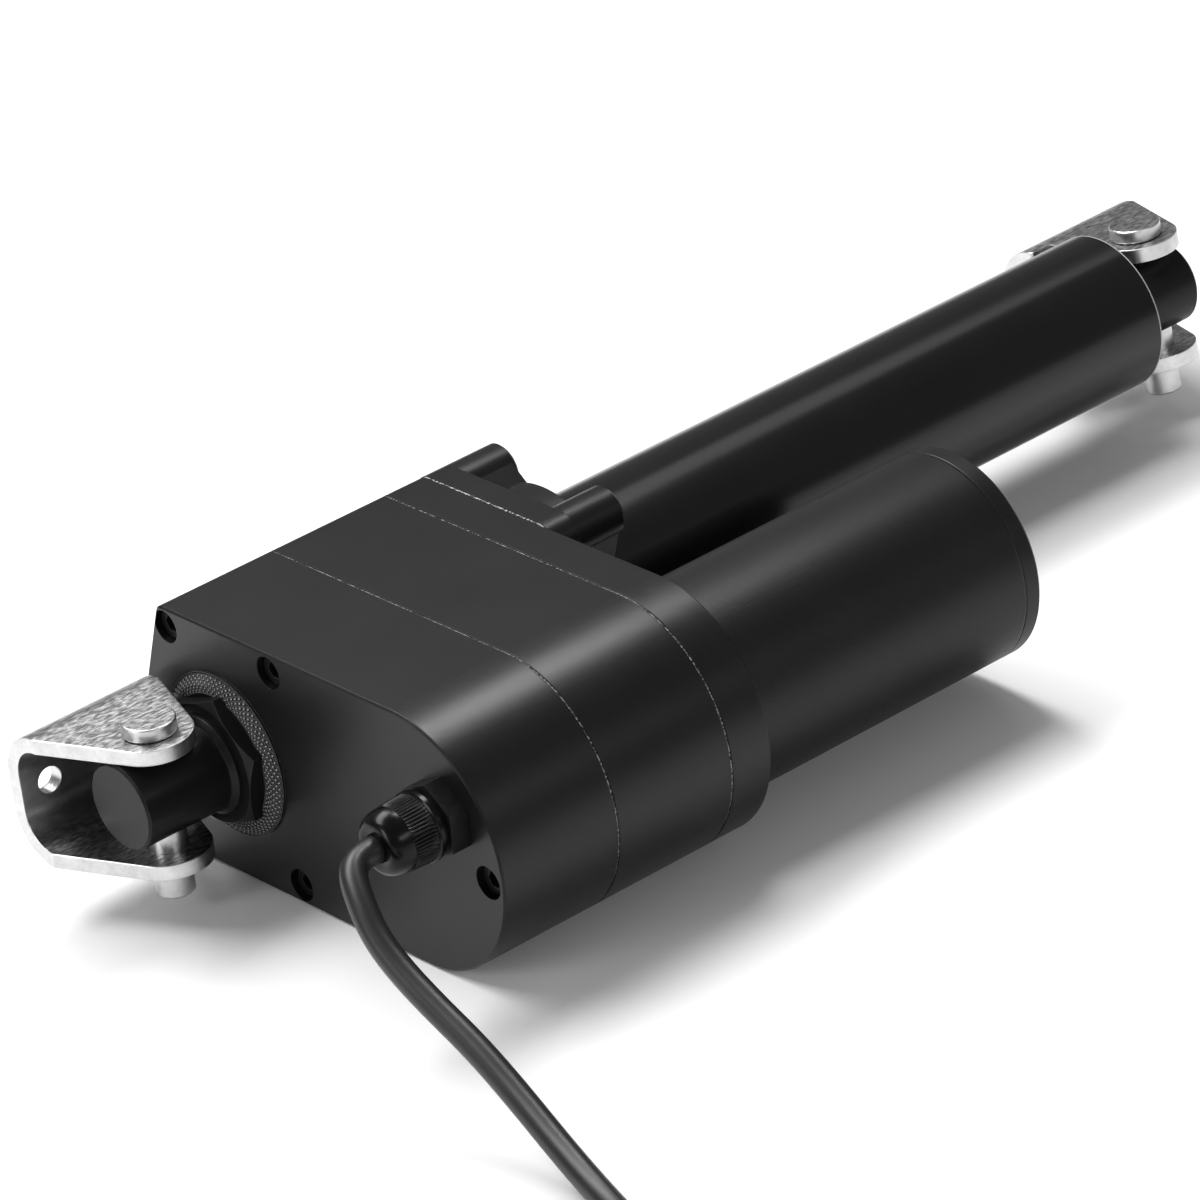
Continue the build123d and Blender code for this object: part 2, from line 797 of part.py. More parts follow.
def gear_outline(teeth, phase, hole):
    """Centred on its own axis; one tooth points at the phase angle, in radians."""
    pitch = module * teeth / 2
    base = pitch * cos(radians(pressure_angle))
    tip = pitch + 0.9 * module
    root = pitch - 1.2 * module
    half_tooth = (pi * module / 2 - tooth_backlash) / 2 / pitch
    at_pitch = involute_angle(pitch, base)
    flank = []
    for radius in (root, max(base, (root + pitch) / 2), pitch, tip):
        flank.append((radius, half_tooth + at_pitch - involute_angle(radius, base)))
    points = []
    for tooth in range(teeth):
        middle = phase + 2 * pi * tooth / teeth
        for radius, angle in flank:
            points.append((radius * cos(middle - angle), radius * sin(middle - angle)))
        for radius, angle in reversed(flank):
            points.append((radius * cos(middle + angle), radius * sin(middle + angle)))
    with BuildSketch() as toothed:
        with BuildLine():
            Polyline(*points, close=True)
        make_face()
        Circle(hole, mode=Mode.SUBTRACT)
    return toothed.sketch


def facing_phase(driver_phase, driver_teeth, wheel_teeth, line):
    """The wheel's phase that puts a gap where the driver has a tooth, on the line between them."""
    driver_turn = (line - driver_phase) * driver_teeth / (2 * pi)
    part_tooth = driver_turn - int(driver_turn)
    return line + pi + (0.5 + part_tooth) * 2 * pi / wheel_teeth


def side_face(place, distance):
    """The plane at this distance in front of the rear face, centred beside the tube's axis."""
    return face(distance).shift_origin(face(distance).from_local_coords(place))


motor_place = (-motor_offset, 0)
first_line = atan2(first_place[1], first_place[0] + motor_offset)
second_line = atan2(second_place[1] - first_place[1], second_place[0] - first_place[0])
third_line = atan2(-second_place[1], -second_place[0])
gear_bore = gear_shaft_radius + running_gap
hub_radius = 4.9

with BuildPart() as motor_pinion:
    with BuildSketch(side_face(motor_place, first_plane - small_gear_overhang / 2)):
        add(gear_outline(pinion_teeth, 0, motor_shaft_radius + 0.02))
    extrude(amount=first_width + small_gear_overhang)
save(motor_pinion.part, "motor_pinion")


def compound_gear(place, wheel, small, wheel_plane, wheel_width, small_plane, small_width):
    """A wheel and a smaller gear in one piece, with hubs that reach the web and the front cover."""
    wheel_teeth, wheel_phase = wheel
    small_teeth, small_phase = small
    with BuildPart() as gear:
        with BuildSketch(side_face(place, wheel_plane)):
            add(gear_outline(wheel_teeth, wheel_phase, gear_bore))
        extrude(amount=wheel_width)
        with BuildSketch(side_face(place, small_plane)):
            add(gear_outline(small_teeth, small_phase, gear_bore))
        extrude(amount=small_width)
        with BuildSketch(side_face(place, web_end + seat_gap)):
            Circle(hub_radius)
            Circle(gear_bore, mode=Mode.SUBTRACT)
        extrude(amount=front_cover_start - web_end - 2 * seat_gap)
        with BuildSketch(side_face(place, wheel_plane + wheel_width - 1.5)):
            Circle(module * wheel_teeth / 2 - 3.5)
            Circle(hub_radius + 2.0, mode=Mode.SUBTRACT)
        extrude(amount=1.5, mode=Mode.SUBTRACT)
    return gear.part


save(
    compound_gear(
        first_place,
        (first_wheel_teeth, facing_phase(0, pinion_teeth, first_wheel_teeth, first_line)),
        (first_small_teeth, 0),
        first_plane,
        first_width,
        second_plane - small_gear_overhang / 2,
        first_plane - second_plane + small_gear_overhang / 2,
    ),
    "first_gear",
)
save(
    compound_gear(
        second_place,
        (
            second_wheel_teeth,
            facing_phase(0, first_small_teeth, second_wheel_teeth, second_line),
        ),
        (second_small_teeth, 0),
        second_plane,
        second_width,
        third_plane - small_gear_overhang / 2,
        second_plane - third_plane + small_gear_overhang / 2,
    ),
    "second_gear",
)

with BuildPart() as screw_gear:
    with BuildSketch(face(third_plane)):
        add(
            gear_outline(
                screw_wheel_teeth,
                facing_phase(0, second_small_teeth, screw_wheel_teeth, third_line),
                lead_screw_radius + 0.02,
            )
        )
    extrude(amount=third_width)
    with BuildSketch(face(third_plane + third_width - 2.0)):
        Circle(module * screw_wheel_teeth / 2 - 4.0)
        Circle(lead_screw_radius + 4.0, mode=Mode.SUBTRACT)
    extrude(amount=2.0, mode=Mode.SUBTRACT)
save(screw_gear.part, "screw_gear")

for label, place in (("first_gear_shaft", first_place), ("second_gear_shaft", second_place)):
    with BuildPart() as gear_shaft:
        with BuildSketch(side_face(place, gear_shaft_start)):
            Circle(gear_shaft_radius)
        extrude(amount=gear_shaft_end - gear_shaft_start)
        chamfer(gear_shaft.edges().filter_by(GeomType.CIRCLE), 0.4)
    save(gear_shaft.part, label)

# Motor: can and end cap, with the front plate whose boss centres the motor in the front cover
plate_end = front_cover_end + motor_plate_thickness
can_inner = motor_radius - motor_wall
motor_bearing_start = plate_end - motor_bearing_width - 1.0

save(disc_between(motor_radius, can_inner, front_cover_end, motor_can_end, motor_face), "motor_can")

with BuildPart() as motor_plate:
    boss(can_inner - 0.05, front_cover_end, plate_end, plane=motor_face)
    boss(motor_pilot_radius, motor_plate_boss_start, front_cover_end, plane=motor_face)
    bore(
        motor_bearing_radius + bearing_seat_gap, motor_bearing_start, plate_end, plane=motor_face
    )
    bore(
        motor_shaft_radius + 1.5, motor_plate_boss_start, motor_bearing_start, plane=motor_face
    )
    bore(1.7, front_cover_end, plate_end, motor_screw_places, motor_face)
    bore(lead_hole_radius, front_cover_end, plate_end, [lead_place])
save(motor_plate.part, "motor_plate")

cap_bearing_radius = 8.0
cap_bearing_width = 5.0
cap_bearing_start = motor_can_end - cap_bearing_width
with BuildPart() as motor_cap:
    boss(motor_radius, motor_can_end, motor_cap_end, plane=motor_face)
    chamfer(motor_cap.faces().sort_by(Axis.X)[-1].edges(), edge_break * 2)
    boss(can_inner - 0.05, motor_can_end - motor_cap_lip, motor_can_end, plane=motor_face)
    bore(can_inner - 2.5, motor_can_end - motor_cap_lip, motor_can_end, plane=motor_face)
    boss(cap_bearing_radius + 3.0, cap_bearing_start, motor_can_end, plane=motor_face)
    bore(
        cap_bearing_radius + bearing_seat_gap, cap_bearing_start, motor_can_end, plane=motor_face
    )
save(motor_cap.part, "motor_cap")

motor_shaft_end = motor_can_end - 0.5
motor_shaft_start = first_plane - small_gear_overhang
save(
    disc_between(motor_shaft_radius, 0, motor_shaft_start, motor_shaft_end, motor_face),
    "motor_shaft",
)
save(
    bearing(
        motor_bearing_radius,
        motor_shaft_radius + 0.03,
        motor_bearing_start,
        motor_bearing_width,
        motor_face,
    ),
    "motor_front_bearing",
)
save(
    bearing(
        cap_bearing_radius,
        motor_shaft_radius + 0.03,
        cap_bearing_start,
        cap_bearing_width - 0.2,
        motor_face,
    ),
    "motor_rear_bearing",
)

# Two magnets, bent to the can's wall
magnet_outer = can_inner - 0.05
magnet_inner = magnet_outer - magnet_thickness
with BuildPart() as motor_magnets:
    with BuildSketch(motor_face(magnet_start)):
        for side in (0, 180):
            with BuildLine():
                CenterArc((0, 0), magnet_outer, side - magnet_half_angle, 2 * magnet_half_angle)
                CenterArc((0, 0), magnet_inner, side - magnet_half_angle, 2 * magnet_half_angle)
                for angle in (side - magnet_half_angle, side + magnet_half_angle):
                    turn = radians(angle)
                    Line(
                        (magnet_inner * cos(turn), magnet_inner * sin(turn)),
                        (magnet_outer * cos(turn), magnet_outer * sin(turn)),
                    )
            make_face()
    extrude(amount=magnet_end - magnet_start)
save(motor_magnets.part, "motor_magnets")

# Armature core: a laminated drum with keyhole slots for the windings
core_radius = magnet_inner - air_gap
slot_centre = core_radius - slot_radius - 1.6
with BuildPart() as armature_core:
    with BuildSketch(motor_face(core_start)):
        Circle(core_radius)
        Circle(motor_shaft_radius + 0.02, mode=Mode.SUBTRACT)
        with PolarLocations(slot_centre, core_slots):
            Circle(slot_radius, mode=Mode.SUBTRACT)
        with PolarLocations(core_radius, core_slots):
            Rectangle(4.0, 1.4, mode=Mode.SUBTRACT)
    extrude(amount=core_end - core_start)
save(armature_core.part, "armature_core")

# Windings: a bar in each slot and a ring of end turns on each side of the core
with BuildPart() as armature_windings:
    with BuildSketch(motor_face(core_start - 0.1)):
        with PolarLocations(slot_centre, core_slots):
            Circle(slot_radius - 0.15)
    extrude(amount=core_end - core_start + 0.2)
    for start, end in (
        (core_start - winding_overhang, core_start - 0.1),
        (core_end + 0.1, core_end + winding_overhang),
    ):
        with BuildSketch(motor_face(start)):
            Circle(slot_centre + slot_radius)
            Circle(motor_shaft_radius + 3.0, mode=Mode.SUBTRACT)
        extrude(amount=end - start)
    fillet(
        armature_windings.edges()
        .filter_by(GeomType.CIRCLE)
        .filter_by(lambda e: e.radius > slot_centre)
        .group_by(Axis.X)[0],
        1.5,
    )
save(armature_windings.part, "armature_windings")

# Commutator: a sleeve of copper bars with grooves between them
with BuildPart() as commutator:
    boss(commutator_radius, commutator_start, commutator_end, plane=motor_face)
    boss(
        commutator_radius + 1.2, commutator_end - 1.8, commutator_end, plane=motor_face
    )
    bore(motor_shaft_radius + 0.02, commutator_start, commutator_end, plane=motor_face)
    with BuildSketch(motor_face(commutator_start)):
        with PolarLocations(commutator_radius + 1.2, commutator_bars):
            Rectangle(4.6, 0.5)
    extrude(amount=commutator_end - commutator_start, mode=Mode.SUBTRACT)
save(commutator.part, "commutator")

# Brush plate with two holders, and a carbon brush in each, lying on the commutator
brush_middle = (commutator_start + commutator_end - 1.8) / 2
holder_start = commutator_radius + 1.5
with BuildPart() as brush_plate:
    with BuildSketch(motor_face(brush_plate_start)):
        Circle(can_inner - 0.1)
        Circle(commutator_radius + 1.0, mode=Mode.SUBTRACT)
    extrude(amount=brush_plate_thickness)
    with BuildSketch(motor_face(brush_plate_start + brush_plate_thickness)):
        for side in (1, -1):
            with Locations((side * (holder_start + brush_length / 2), 0)):
                Rectangle(brush_length, brush_width + 3.0)
                Rectangle(brush_length, brush_width + 0.2, mode=Mode.SUBTRACT)
    extrude(amount=brush_middle + brush_width / 2 - brush_plate_start - brush_plate_thickness)
    bore(lead_diameter, brush_plate_start, brush_plate_start + 2.0, [lead_place])
save(brush_plate.part, "brush_plate")

with BuildPart() as brushes:
    with BuildSketch(motor_face(brush_middle - brush_width / 2)):
        for side in (1, -1):
            with Locations((side * (commutator_radius + 0.1 + brush_length / 2), 0)):
                Rectangle(brush_length, brush_width)
    extrude(amount=brush_width)
save(brushes.part, "brushes")


# Socket head screw along the tube's direction, its head towards the rear
def socket_screw(place, start, end, head_radius, head_height, body_radius, plane=face):
    with BuildPart() as screw:
        with BuildSketch(plane(start)):
            with Locations(place):
                Circle(head_radius)
        extrude(amount=head_height)
        with BuildSketch(plane(start + head_height)):
            with Locations(place):
                Circle(body_radius)
        extrude(amount=end - start - head_height)
        with BuildSketch(plane(start)):
            with Locations(place):
                RegularPolygon(head_radius / 2, 6, major_radius=False)
        extrude(amount=screw_socket_depth * head_height / screw_head_height, mode=Mode.SUBTRACT)
    return screw.part


head_start = head_recess_depth - screw_head_height
tube_screws = Compound(
    children=[
        socket_screw(
            place,
            head_start,
            flange_lobe_end - 5.0,
            screw_head_diameter / 2,
            screw_head_height,
            screw_diameter / 2,
        )
        for place in tube_screw_places
    ]
)
save(tube_screws, "tube_screws")
save(
    socket_screw(
        motor_screw_place,
        head_start,
        front_cover_end - 2.0,
        screw_head_diameter / 2,
        screw_head_height,
        screw_diameter / 2,
    ),
    "cover_screw",
)
motor_screws = Compound(
    children=[
        socket_screw(
            place, front_cover_start + 1.5, plate_end, 3.5, 3.5, 1.65, motor_face
        )
        for place in motor_screw_places
    ]
)
save(motor_screws, "motor_screws")

# Cable gland: hexagon body with a threaded stub, a lock nut inside, a seal and a domed nut
gland_axis = Axis((face_x, axis_y + gland_y, axis_z + gland_z), (1, 0, 0))
gland_section = Plane(
    origin=(face_x, axis_y + gland_y, axis_z + gland_z), x_dir=(-1, 0, 0), z_dir=(0, 1, 0)
)
cable_radius = cable_diameter / 2
cable_bore = cable_radius + 0.1
gland_stub_end = gland_nut_start + 6.4
gland_stub_radius = gland_cavity_radius - 0.2

with BuildPart() as gland_body:
    with BuildSketch(face(0)):
        with Locations(lead_place):
            RegularPolygon(gland_hex / 2, 6, major_radius=False, rotation=gland_turn)
    extrude(amount=-gland_hex_length)
    boss(gland_neck_radius, -gland_nut_start + 0.1, -gland_hex_length, [lead_place])
    boss(gland_stub_radius, -gland_stub_end, -gland_hex_length, [lead_place])
    boss(gland_thread_radius, 0, gland_thread_length, [lead_place])
    bore(cable_bore, -gland_stub_end, gland_thread_length, [lead_place])
save(gland_body.part, "gland_body")
save(
    chamfered_hexagon(
        gland_lock_nut_hex,
        rear_wall + 0.05 + gland_lock_nut_thickness,
        gland_lock_nut_thickness,
        gland_thread_radius + 0.03,
        0,
        lead_place,
    ),
    "gland_lock_nut",
)

with BuildPart() as gland_nut:
    with BuildSketch(gland_section):
        with BuildLine():
            Polyline(
                (gland_nut_start, gland_cavity_radius),
                (gland_nut_start, gland_nut_radius - 0.4),
                (gland_nut_start + 0.5, gland_nut_radius),
                (gland_nut_start + 1.6, gland_nut_radius),
                (gland_nut_start + 2.0, gland_nut_radius - 0.4),
                (gland_grip_end, gland_nut_radius - 0.7),
            )
            dome = Spline(
                (gland_grip_end, gland_nut_radius - 0.7),
                (gland_grip_end + 3.6, gland_nut_radius - 2.0),
                (gland_tip, gland_tip_radius),
                tangents=((1, -0.1), (0.55, -1)),
            )
            Polyline(
                (gland_tip, gland_tip_radius),
                (gland_tip, cable_bore),
                (gland_stub_end + gland_seal_length + 0.3, cable_bore),
                (gland_stub_end + gland_seal_length + 0.3, gland_cavity_radius),
                (gland_nut_start, gland_cavity_radius),
            )
        make_face()
    revolve(axis=gland_axis)
save(gland_nut.part, "gland_nut")
save(
    disc_between(
        gland_stub_radius - 0.1,
        cable_radius + 0.02,
        -gland_stub_end - gland_seal_length,
        -gland_stub_end - 0.1,
        lambda distance: side_face(lead_place, distance),
    ),
    "gland_seal",
)

# Inside end of the cable: its jacket through the gland, then two leads to the brush plate
with BuildPart() as inner_cable:
    boss(cable_radius, -gland_tip + 0.1, gland_thread_length + 1.0, [lead_place])
save(inner_cable.part, "inner_cable")

lead_places = [(lead_place[0], lead_place[1] + side * lead_spacing / 2) for side in (1, -1)]
motor_leads = Compound(
    children=[
        disc_between(
            lead_diameter / 2,
            0,
            gland_thread_length + 1.0,
            brush_plate_start - 0.1,
            lambda distance, place=place: side_face(place, distance),
        )
        for place in lead_places
    ]
)
save(motor_leads, "motor_leads")

# Loose cable: straight runs joined by arcs, each as large as its runs allow
cable_points = [Vector(face_x - gland_tip, axis_y + gland_y, axis_z + gland_z)]
cable_points += [Vector(*point) for point in cable_route]
cable_radii = []
for before, corner, after in zip(cable_points, cable_points[1:], cable_points[2:]):
    half_turn = radians((corner - before).get_angle(after - corner)) / 2
    shorter = min((corner - before).length, (after - corner).length)
    cable_radii.append(0.45 * shorter / tan(half_turn))
print("cable arc radii", [round(radius, 1) for radius in cable_radii])

with BuildPart() as power_cable:
    with BuildLine():
        cable_path = FilletPolyline(*cable_points, radius=cable_radii)
    with BuildSketch(Plane(origin=cable_points[0], x_dir=(0, 1, 0), z_dir=(-1, 0, 0))):
        Circle(cable_radius)
    sweep()
print("cable length", round(cable_path.length, 1), "volume", round(power_cable.part.volume, 1))
print("section times length", round(pi * cable_radius**2 * cable_path.length, 1))
save(power_cable.part, "power_cable")

# Coil of the rest of the cable: two turns on the floor and one on top, as one closed ring
turn_rise = cable_diameter * sin(radians(60))
coil_axis = Axis((coil_centre[0], coil_centre[1], 0), (0, 0, 1))
with BuildPart() as cable_coil:
    with BuildSketch(Plane(origin=(*coil_centre, 0), x_dir=(1, 0, 0), z_dir=(0, -1, 0))):
        with Locations(
            (coil_outer_turn, cable_radius),
            (coil_outer_turn - cable_diameter, cable_radius),
            (coil_outer_turn - cable_radius, cable_radius + turn_rise),
        ):
            Circle(cable_radius)
        make_hull()
    revolve(axis=coil_axis)
save(cable_coil.part, "cable_coil")

# End of the cable, peeled off the coil's inner turn, and its two bare leads
end_direction = (Vector(*cable_end_stop) - Vector(*cable_end_start)).normalized()
end_side = Vector(-end_direction.Y, end_direction.X)


def end_plane(along, aside):
    """A plane across the cable's end, this far past its jacket and to its side."""
    place = Vector(*cable_end_stop, cable_radius) + end_direction * along + end_side * aside
    return Plane(origin=place, x_dir=end_side, z_dir=end_direction)


with BuildPart() as cable_end:
    with BuildSketch(end_plane(0, 0)):
        Circle(cable_radius)
    extrude(amount=-(Vector(*cable_end_stop) - Vector(*cable_end_start)).length)
save(cable_end.part, "cable_end")

with BuildPart() as lead_ends:
    for side in (1, -1):
        with BuildSketch(end_plane(0, side * lead_spacing / 2)):
            Circle(lead_diameter / 2)
        extrude(amount=lead_end_length)
save(lead_ends.part, "lead_ends")
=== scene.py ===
import json
from math import cos, pi, radians, sin

import bmesh
import bpy
from mathutils import Matrix, Vector


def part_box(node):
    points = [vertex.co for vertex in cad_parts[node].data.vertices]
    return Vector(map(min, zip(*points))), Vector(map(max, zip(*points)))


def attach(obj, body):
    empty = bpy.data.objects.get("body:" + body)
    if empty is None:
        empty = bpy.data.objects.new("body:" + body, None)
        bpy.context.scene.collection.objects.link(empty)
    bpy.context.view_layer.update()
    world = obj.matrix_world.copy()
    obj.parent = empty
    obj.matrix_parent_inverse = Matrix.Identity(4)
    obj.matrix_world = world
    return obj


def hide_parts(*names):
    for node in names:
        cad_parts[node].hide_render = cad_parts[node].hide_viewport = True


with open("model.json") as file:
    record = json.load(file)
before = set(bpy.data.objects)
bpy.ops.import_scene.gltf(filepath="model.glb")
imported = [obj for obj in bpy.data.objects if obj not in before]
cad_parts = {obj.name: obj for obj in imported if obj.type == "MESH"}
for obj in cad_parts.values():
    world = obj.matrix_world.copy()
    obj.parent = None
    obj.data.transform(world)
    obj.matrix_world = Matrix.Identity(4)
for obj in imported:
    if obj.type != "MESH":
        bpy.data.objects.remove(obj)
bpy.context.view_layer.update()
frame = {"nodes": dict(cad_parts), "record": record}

MM = 0.001
scene = bpy.context.scene
scene.view_settings.view_transform = "Standard"

# Places that the pieces below share, read from the frame
ring_low, ring_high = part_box("knurled_ring")
gland_low, gland_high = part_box("gland_nut")
tube_low, tube_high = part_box("outer_tube")
motor_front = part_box("motor_can")[1].x
axis_y = (tube_low.y + tube_high.y) / 2
axis_z = (tube_low.z + tube_high.z) / 2
gland_y = (gland_low.y + gland_high.y) / 2
gland_z = (gland_low.z + gland_high.z) / 2


# Camera: a long lens, a little rolled, as in the photograph
def look_from(azimuth, elevation, roll, distance, target):
    back = Vector(
        (
            sin(azimuth) * cos(elevation),
            -cos(azimuth) * cos(elevation),
            sin(elevation),
        )
    )
    right = (-back).cross(Vector((0, 0, 1))).normalized()
    up = right.cross(-back)
    rolled_right = cos(roll) * right + sin(roll) * up
    rolled_up = cos(roll) * up - sin(roll) * right
    turn = Matrix((rolled_right, rolled_up, back)).transposed().to_4x4()
    return Matrix.Translation(target + back * distance) @ turn


camera_data = bpy.data.cameras.new("view")
camera_data.sensor_width = 36.0
camera_data.lens = 223.3
camera_data.clip_end = 20.0
camera = bpy.data.objects.new("view", camera_data)
scene.collection.objects.link(camera)
camera.matrix_world = look_from(
    azimuth=-0.652101,
    elevation=0.471161,
    roll=-0.135958,
    distance=1.885956,
    target=Vector((-0.03765, 0.02159, 0.03511)),
)
scene.camera = camera


# Small tools for materials
BEVEL_SAMPLES = 4


class Shader:
    """A principled material whose nodes are added one by one; places are in the object's own metres."""

    def __init__(self, name, metallic=0.0, **fixed):
        self.material = bpy.data.materials.new(name)
        self.material.use_nodes = True
        self.tree = self.material.node_tree
        self.surface = self.tree.nodes["Principled BSDF"]
        self.surface.inputs["Metallic"].default_value = metallic
        for socket, value in fixed.items():
            self.surface.inputs[socket.replace("_", " ")].default_value = value
        self.place = self.node("ShaderNodeTexCoord").outputs["Object"]

    def node(self, kind, **settings):
        made = self.tree.nodes.new(kind)
        for name, value in settings.items():
            setattr(made, name, value)
        return made

    def link(self, source, target):
        self.tree.links.new(source, target)

    def stretched(self, scale):
        mapping = self.node("ShaderNodeMapping")
        mapping.inputs["Scale"].default_value = scale
        self.link(self.place, mapping.inputs["Vector"])
        return mapping.outputs["Vector"]

    def noise(self, scale, detail=3.0, roughness=0.55, at=None):
        """Cloudy values about one half; the scale is how many grains fit in a metre."""
        made = self.node("ShaderNodeTexNoise")
        made.inputs["Scale"].default_value = scale
        made.inputs["Detail"].default_value = detail
        made.inputs["Roughness"].default_value = roughness
        self.link(at or self.place, made.inputs["Vector"])
        return made.outputs["Fac"]

    def ramp(self, source, *stops):
        """Turns a value into a tone: each stop is a value and the grey or colour that it gets."""
        made = self.node("ShaderNodeValToRGB")
        elements = made.color_ramp.elements
        while len(elements) < len(stops):
            elements.new(0.5)
        for element, (position, value) in zip(elements, stops):
            element.position = position
            colour = value if isinstance(value, tuple) else (value, value, value)
            element.color = (*colour, 1.0)
        self.link(source, made.inputs["Fac"])
        return made.outputs["Color"]

    def maths(self, kind, first, second):
        made = self.node("ShaderNodeMath", operation=kind)
        for socket, value in zip(made.inputs, (first, second)):
            if isinstance(value, (int, float)):
                socket.default_value = value
            else:
                self.link(value, socket)
        return made.outputs["Value"]

    def blend(self, first, second, share):
        """Two values as one, the second with this share."""
        kept = self.maths("MULTIPLY", first, 1 - share)
        return self.maths("ADD", kept, self.maths("MULTIPLY", second, share))

    def mix(self, factor, first, second):
        made = self.node("ShaderNodeMix", data_type="RGBA")
        for socket, value in zip((made.inputs[0], made.inputs[6], made.inputs[7]), (factor, first, second)):
            if isinstance(value, tuple):
                socket.default_value = (*value, 1.0)
            elif isinstance(value, (int, float)):
                socket.default_value = value
            else:
                self.link(value, socket)
        return made.outputs[2]

    def colour(self, source):
        self.link(source, self.surface.inputs["Base Color"])

    def roughness(self, source):
        self.link(source, self.surface.inputs["Roughness"])

    def bump(self, source, strength, distance, edge=0.0):
        made = self.node("ShaderNodeBump")
        made.inputs["Strength"].default_value = strength
        made.inputs["Distance"].default_value = distance
        self.link(source, made.inputs["Height"])
        if edge:
            self.link(self.rounded(edge), made.inputs["Normal"])
        self.link(made.outputs["Normal"], self.surface.inputs["Normal"])

    def beside(self, x, reach):
        """Zero on a ring line at this x and one from a short reach off it on both sides."""
        split = self.node("ShaderNodeSeparateXYZ")
        self.link(self.place, split.inputs["Vector"])
        offset = self.maths("ABSOLUTE", self.maths("SUBTRACT", split.outputs["X"], x), 0.0)
        return self.maths("MINIMUM", self.maths("DIVIDE", offset, reach), 1.0)

    def rounded(self, radius):
        made = self.node("ShaderNodeBevel")
        made.samples = BEVEL_SAMPLES
        made.inputs["Radius"].default_value = radius
        return made.outputs["Normal"]

    def edge_mask(self, radius, low, high):
        """Zero on open faces and one along edges and corners."""
        geometry = self.node("ShaderNodeNewGeometry")
        product = self.node("ShaderNodeVectorMath", operation="DOT_PRODUCT")
        self.link(self.rounded(radius), product.inputs[0])
        self.link(geometry.outputs["Normal"], product.inputs[1])
        return self.ramp(product.outputs["Value"], (low, 1.0), (high, 0.0))


# How strongly dark surfaces mirror
DARK_SPECULAR = 0.28
OXIDE_SPECULAR = 0.17
TUBE_SPECULAR = 0.36
JACKET_SPECULAR = 0.45
KNURL_SPECULAR = 0.15
GLAND_SPECULAR = 0.18

# Rounding of edges in the shading, the tone of worn edges, and painted highlights on zinc edges, knurl
# points, the knurl rim and the tube's front end
PAINT_EDGE = 0.3 * MM
METAL_EDGE = 0.5 * MM
WORN_EDGE = 0.4 * MM
EDGE_HIGHLIGHT_RADIUS = 0.6 * MM
RIM_HIGHLIGHT_RADIUS = 0.25 * MM
WORN_TONE = (0.32, 0.32, 0.33)
EDGE_HIGHLIGHT_TONE = (0.95, 0.95, 0.94)
POINT_HIGHLIGHT_TONE = (0.8, 0.8, 0.8)
RIM_HIGHLIGHT_TONE = (0.5, 0.5, 0.5)

# Grooves beside the seams, and the width of the painted highlight at the front end of the tube
SEAM_DEPTH = 0.3 * MM
SEAM_REACH = 0.45 * MM
TUBE_RIM_HIGHLIGHT = 0.35 * MM


def middle_x(node):
    low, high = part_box(node)
    return (low.x + high.x) / 2


HOUSING_SEAMS = (middle_x("rear_gasket"), middle_x("middle_gasket"))


def grained_black(
    name, dark, light, rough, grain, wear=0.0, grain_depth=0.03 * MM, seams=(), specular=DARK_SPECULAR
):
    """Painted or blackened metal: fine grain, faint cloudy tone and, if asked, worn edges or seams."""
    shader = Shader(name, Specular_IOR_Level=specular)
    cloud = shader.noise(45.0, detail=4.0)
    fine = shader.noise(grain, detail=2.0)
    tone = shader.ramp(cloud, (0.3, dark), (0.75, light))
    if wear:
        wear_and_highlight = shader.maths("MULTIPLY", shader.edge_mask(WORN_EDGE, 0.86, 0.985), wear)
        patches = shader.ramp(shader.noise(900.0), (0.35, 0.3), (0.6, 1.0))
        tone = shader.mix(shader.maths("MULTIPLY", wear_and_highlight, patches), tone, WORN_TONE)
    shader.colour(tone)
    shader.roughness(shader.ramp(fine, (0.25, rough - 0.05), (0.75, rough + 0.06)))
    if seams:
        height = shader.maths("MULTIPLY", fine, grain_depth / SEAM_DEPTH)
        for seam in seams:
            height = shader.maths("ADD", height, shader.beside(seam, SEAM_REACH))
        shader.bump(height, 0.8, SEAM_DEPTH, edge=PAINT_EDGE)
    else:
        shader.bump(fine, 0.5, grain_depth, edge=PAINT_EDGE)
    return shader.material


def brushed_metal(name, dark, light, rough, direction=(60.0, 2500.0, 2500.0), cloudy=0.5):
    """Bare metal with fine drawn lines and a cloudy tone."""
    shader = Shader(name, metallic=1.0)
    lines = shader.noise(1.0, detail=4.0, roughness=0.7, at=shader.stretched(direction))
    cloud = shader.noise(160.0, detail=5.0, roughness=0.65)
    mixed = shader.blend(lines, cloud, cloudy)
    shader.colour(shader.ramp(mixed, (0.36, dark), (0.62, light)))
    shader.roughness(shader.ramp(mixed, (0.3, rough - 0.07), (0.7, rough + 0.1)))
    shader.bump(mixed, 0.35, 0.05 * MM, edge=METAL_EDGE)
    return shader.material


